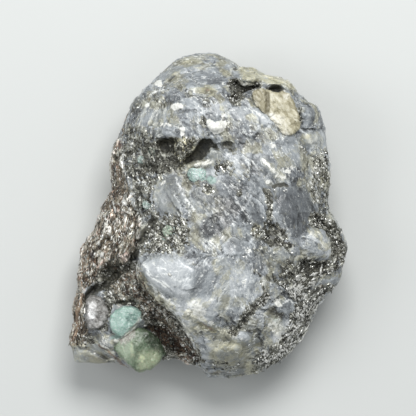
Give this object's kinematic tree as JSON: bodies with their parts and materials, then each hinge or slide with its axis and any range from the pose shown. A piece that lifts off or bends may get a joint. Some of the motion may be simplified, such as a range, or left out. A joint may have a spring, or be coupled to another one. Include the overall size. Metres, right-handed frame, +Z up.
{
  "type": "emerald in matrix specimen",
  "caption": "Rough piece of grey quartz and mica schist holding pale teal and green emerald crystals and a tan feldspar grain, lying on its flat back.",
  "frame": {"origin": "under the middle of the stone, at the height of the flat back face it rests on", "axes": "+Z up, out of the show face; +Y along the stone's longest side, towards its rounded top; +X to the right as the show face is seen"},
  "size_m": [0.0574, 0.068, 0.0301],
  "materials": {
    "matrix_rock": "broken grey quartz and glittering dark brown mica schist, satin with bright cleavage flashes",
    "emerald_pale": "pale teal translucent beryl, fine white fractures, satin gloss",
    "emerald_deep": "cloudy grass green translucent beryl, satin gloss",
    "feldspar": "tan to cream weathered feldspar, dull to satin",
    "quartz": "grey vitreous quartz with bright glints"
  },
  "bodies": {
    "root": {"matrix": "matrix_rock", "emerald_teal": "emerald_pale", "emerald_green": "emerald_deep", "emerald_vug": "emerald_pale", "emerald_grain_left": "emerald_pale", "emerald_grain_low": "emerald_deep", "emerald_grain_high": "emerald_pale", "feldspar_tan": "feldspar", "quartz_nodule": "quartz"}
  },
  "joints": []
}
